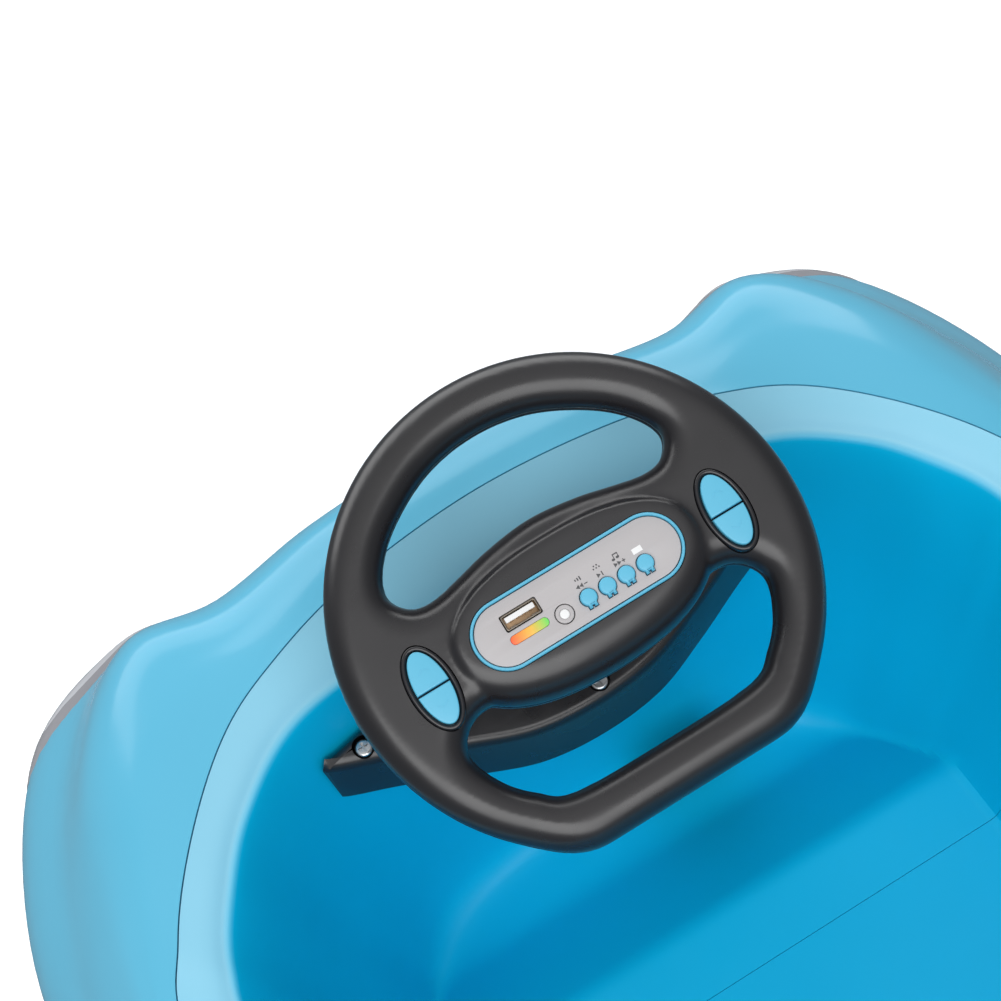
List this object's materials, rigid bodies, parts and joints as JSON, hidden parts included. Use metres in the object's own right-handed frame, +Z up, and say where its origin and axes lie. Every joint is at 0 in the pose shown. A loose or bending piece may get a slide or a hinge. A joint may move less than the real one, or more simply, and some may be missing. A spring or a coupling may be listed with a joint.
{
  "type": "child's electric ride-on car",
  "caption": "Child's battery ride-on car with a moulded tub body, steering wheel with audio panel, linked front wheels and driven rear wheels.",
  "frame": {"origin": "centre of the car's footprint, on the ground", "axes": "+Y towards the car's front, along its length; +X towards the car's right; +Z up"},
  "size_m": [0.4986, 0.6384, 0.407],
  "materials": {
    "body_blue": "glossy moulded plastic, sky blue",
    "tub_blue": "semi-gloss moulded plastic, sky blue",
    "button_blue": "semi-gloss light blue",
    "satin_black": "fine satin texture, charcoal black",
    "gloss_black": "gloss black",
    "tray_black": "matt black",
    "wheel_plastic": "matt black blow-moulded plastic",
    "panel_grey": "satin silver-grey label face",
    "white_plastic": "white acetal",
    "steel": "zinc-plated steel",
    "tyre": "dull black",
    "silver_plastic": "silver-painted plastic",
    "lamp_grey": "smoked grey lamp moulding",
    "lamp_red": "red lamp moulding",
    "indicator": "printed charge scale, red to green",
    "board_green": "solder-resist green"
  },
  "bodies": {
    "chassis": {"body_shell": "body_blue", "cockpit_tub": "tub_blue", "seat_shell": "tub_blue", "undertray": "tray_black", "headlight_housing_left": "lamp_grey", "headlight_housing_right": "lamp_grey", "tail_light_left": "lamp_red", "tail_light_right": "lamp_red", "dash_bridge": "satin_black", "bridge_screw_left": "steel", "bridge_screw_centre": "steel", "bridge_screw_right": "steel", "column_bush": "white_plastic", "battery": "gloss_black", "control_box": "tray_black", "gearbox_left": "tray_black", "gearbox_right": "tray_black", "motor_left": "steel", "motor_right": "steel", "rear_axle": "steel", "front_axle_beam": "tray_black", "switch_panel": "gloss_black", "charge_socket": "steel", "pedal_base": "tray_black"},
    "steering": {"steering_column": "steel", "wheel_front_shell": "satin_black", "wheel_back_shell": "satin_black", "panel_ring": "button_blue", "panel_face": "panel_grey", "usb_socket": "steel", "aux_jack": "white_plastic", "charge_indicator": "indicator", "audio_board": "board_green", "bezel_left": "gloss_black", "bezel_right": "gloss_black"},
    "left_upper_button": {"button_left_upper": "button_blue"},
    "left_lower_button": {"button_left_lower": "button_blue"},
    "right_upper_button": {"button_right_upper": "button_blue"},
    "right_lower_button": {"button_right_lower": "button_blue"},
    "audio_button_1": {"panel_button_1": "button_blue"},
    "audio_button_2": {"panel_button_2": "button_blue"},
    "audio_button_3": {"panel_button_3": "button_blue"},
    "audio_button_4": {"panel_button_4": "button_blue"},
    "shaft": {"lower_shaft": "steel"},
    "track_rod": {"tie_rod": "steel"},
    "left_knuckle": {"knuckle_left": "steel"},
    "right_knuckle": {"knuckle_right": "steel"},
    "front_left_wheel": {"front_wheel_left": "wheel_plastic"},
    "front_right_wheel": {"front_wheel_right": "wheel_plastic"},
    "rear_left_wheel": {"rear_tyre_left": "tyre", "rear_rim_left": "silver_plastic"},
    "rear_right_wheel": {"rear_tyre_right": "tyre", "rear_rim_right": "silver_plastic"},
    "rocker": {"drive_switch": "satin_black"},
    "power": {"power_button": "button_blue"},
    "pedal": {"accelerator_pedal": "satin_black"}
  },
  "joints": [
    {"name": "steering_turn", "type": "hinge", "parent": "chassis", "child": "steering", "pos_m": [0, 0.172, 0.372], "axis": [0, -0.3256, 0.9455], "range_deg": [-35, 35]},
    {"name": "shaft_turn", "type": "hinge", "parent": "chassis", "child": "shaft", "pos_m": [0, 0.232, 0.198], "axis": [0, 0, 1], "range_deg": [-35.5, 35.5]},
    {"name": "track_rod_slide", "type": "slide", "parent": "chassis", "child": "track_rod", "axis": [1, 0, 0], "range_m": [-0.0175, 0.0175]},
    {"name": "left_knuckle_turn", "type": "hinge", "parent": "chassis", "child": "left_knuckle", "pos_m": [-0.165, 0.21, 0.058], "axis": [0, 0, 1], "range_deg": [-20, 20]},
    {"name": "right_knuckle_turn", "type": "hinge", "parent": "chassis", "child": "right_knuckle", "pos_m": [0.165, 0.21, 0.058], "axis": [0, 0, 1], "range_deg": [-20, 20]},
    {"name": "front_left_spin", "type": "hinge", "parent": "left_knuckle", "child": "front_left_wheel", "pos_m": [-0.195, 0.21, 0.058], "axis": [1, 0, 0], "continuous": true},
    {"name": "front_right_spin", "type": "hinge", "parent": "right_knuckle", "child": "front_right_wheel", "pos_m": [0.195, 0.21, 0.058], "axis": [1, 0, 0], "continuous": true},
    {"name": "rear_left_spin", "type": "hinge", "parent": "chassis", "child": "rear_left_wheel", "pos_m": [-0.222, -0.17, 0.078], "axis": [1, 0, 0], "continuous": true},
    {"name": "rear_right_spin", "type": "hinge", "parent": "chassis", "child": "rear_right_wheel", "pos_m": [0.222, -0.17, 0.078], "axis": [1, 0, 0], "continuous": true},
    {"name": "left_upper_press", "type": "slide", "parent": "steering", "child": "left_upper_button", "axis": [0, 0.3256, -0.9455], "range_m": [0, 0.001], "stiffness_N_per_m": 400, "springref_m": -0.0005},
    {"name": "left_lower_press", "type": "slide", "parent": "steering", "child": "left_lower_button", "axis": [0, 0.3256, -0.9455], "range_m": [0, 0.001], "stiffness_N_per_m": 400, "springref_m": -0.0005},
    {"name": "right_upper_press", "type": "slide", "parent": "steering", "child": "right_upper_button", "axis": [0, 0.3256, -0.9455], "range_m": [0, 0.001], "stiffness_N_per_m": 400, "springref_m": -0.0005},
    {"name": "right_lower_press", "type": "slide", "parent": "steering", "child": "right_lower_button", "axis": [0, 0.3256, -0.9455], "range_m": [0, 0.001], "stiffness_N_per_m": 400, "springref_m": -0.0005},
    {"name": "audio_1_press", "type": "slide", "parent": "steering", "child": "audio_button_1", "axis": [0, 0.3256, -0.9455], "range_m": [0, 0.001], "stiffness_N_per_m": 400, "springref_m": -0.0005},
    {"name": "audio_2_press", "type": "slide", "parent": "steering", "child": "audio_button_2", "axis": [0, 0.3256, -0.9455], "range_m": [0, 0.001], "stiffness_N_per_m": 400, "springref_m": -0.0005},
    {"name": "audio_3_press", "type": "slide", "parent": "steering", "child": "audio_button_3", "axis": [0, 0.3256, -0.9455], "range_m": [0, 0.001], "stiffness_N_per_m": 400, "springref_m": -0.0005},
    {"name": "audio_4_press", "type": "slide", "parent": "steering", "child": "audio_button_4", "axis": [0, 0.3256, -0.9455], "range_m": [0, 0.001], "stiffness_N_per_m": 400, "springref_m": -0.0005},
    {"name": "rocker_tilt", "type": "hinge", "parent": "chassis", "child": "rocker", "pos_m": [0.19, -0.016, 0.286], "axis": [1, 0, 0], "range_deg": [-10, 10]},
    {"name": "power_press", "type": "slide", "parent": "chassis", "child": "power", "axis": [0, 0, -1], "range_m": [0, 0.002], "stiffness_N_per_m": 400, "springref_m": -0.0005},
    {"name": "pedal_press", "type": "hinge", "parent": "chassis", "child": "pedal", "pos_m": [0.034, 0.193, 0.1315], "axis": [-1, 0, 0], "range_deg": [0, 12], "stiffness_Nm_per_rad": 0.6, "springref_deg": -5.73}
  ],
  "couplings": [
    {"joint": "shaft_turn", "follows": "steering_turn", "ratio": 1},
    {"joint": "track_rod_slide", "follows": "steering_turn", "m_per_rad": -0.028},
    {"joint": "left_knuckle_turn", "follows": "steering_turn", "ratio": 0.56},
    {"joint": "right_knuckle_turn", "follows": "steering_turn", "ratio": 0.56}
  ]
}
